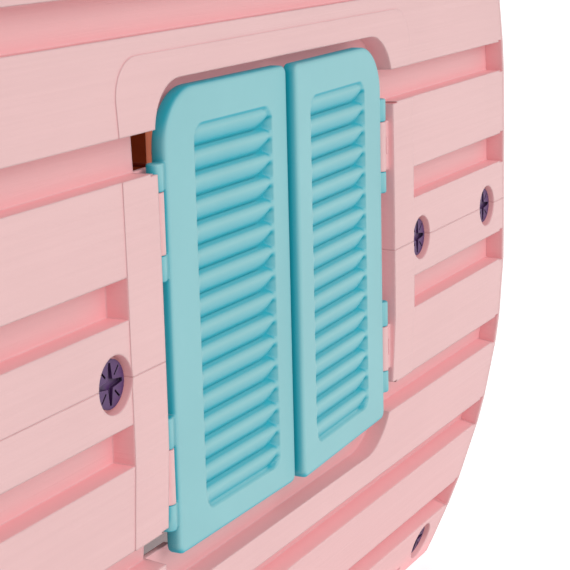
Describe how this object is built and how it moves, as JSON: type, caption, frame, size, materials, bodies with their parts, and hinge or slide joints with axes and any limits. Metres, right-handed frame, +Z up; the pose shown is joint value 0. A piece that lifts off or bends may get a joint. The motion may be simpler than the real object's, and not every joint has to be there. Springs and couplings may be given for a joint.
{
  "type": "plastic playhouse",
  "caption": "Child's outdoor plastic playhouse with bulged plank walls in two storeys, louvred hinged shutters, an arched hinged door, star-slot bolts and a gable roof.",
  "frame": {"origin": "middle of the footprint, on the ground", "axes": "+Z up; the two window walls face -Y and +Y; the door wall faces +X"},
  "size_m": [1.06, 0.9688, 1.1124],
  "materials": {
    "wall": "satin moulded pink with a fine wood grain",
    "shutter": "satin turquoise",
    "door": "satin orange",
    "handle": "satin violet",
    "roof": "satin violet",
    "fastener": "moulded violet"
  },
  "bodies": {
    "house": {"front_wall_lower": "wall", "front_wall_upper": "wall", "back_wall_lower": "wall", "back_wall_upper": "wall", "door_wall_lower": "wall", "door_wall_upper": "wall", "end_wall_lower": "wall", "end_wall_upper": "wall", "shutter_pins_front_left": "fastener", "shutter_pins_front_right": "fastener", "shutter_pins_back_left": "fastener", "shutter_pins_back_right": "fastener", "door_pins": "fastener", "roof_front": "roof", "roof_back": "roof", "ridge_cap": "roof", "seam_bolts_front": "fastener", "seam_bolts_back": "fastener", "seam_bolts_door_wall": "fastener", "seam_bolts_end_wall": "fastener", "corner_bolts_front": "fastener", "corner_bolts_back": "fastener", "roof_bolts": "fastener", "seam_nuts_front": "fastener", "seam_nuts_back": "fastener", "seam_nuts_door_wall": "fastener", "seam_nuts_end_wall": "fastener", "corner_nuts_front": "fastener", "corner_nuts_back": "fastener", "roof_nuts": "fastener"},
    "shutter_front_left": {"shutter_front_left": "shutter"},
    "shutter_front_right": {"shutter_front_right": "shutter"},
    "shutter_back_left": {"shutter_back_left": "shutter"},
    "shutter_back_right": {"shutter_back_right": "shutter"},
    "door": {"door_leaf": "door", "door_handle_outside": "handle", "door_handle_inside": "handle"}
  },
  "joints": [
    {"name": "shutter_front_left_hinge", "type": "hinge", "parent": "house", "child": "shutter_front_left", "pos_m": [-0.194, -0.431, 0.386], "axis": [0, 0, -1], "range_deg": [-1, 109]},
    {"name": "shutter_front_right_hinge", "type": "hinge", "parent": "house", "child": "shutter_front_right", "pos_m": [0.194, -0.431, 0.386], "axis": [0, 0, 1], "range_deg": [-2.75, 107.25]},
    {"name": "shutter_back_left_hinge", "type": "hinge", "parent": "house", "child": "shutter_back_left", "pos_m": [0.194, 0.431, 0.386], "axis": [0, 0, -1], "range_deg": [0, 110]},
    {"name": "shutter_back_right_hinge", "type": "hinge", "parent": "house", "child": "shutter_back_right", "pos_m": [-0.194, 0.431, 0.386], "axis": [0, 0, 1], "range_deg": [0, 110]},
    {"name": "door_hinge", "type": "hinge", "parent": "house", "child": "door", "pos_m": [0.508, -0.176, 0.3], "axis": [0, 0, -1], "range_deg": [0, 105]}
  ]
}
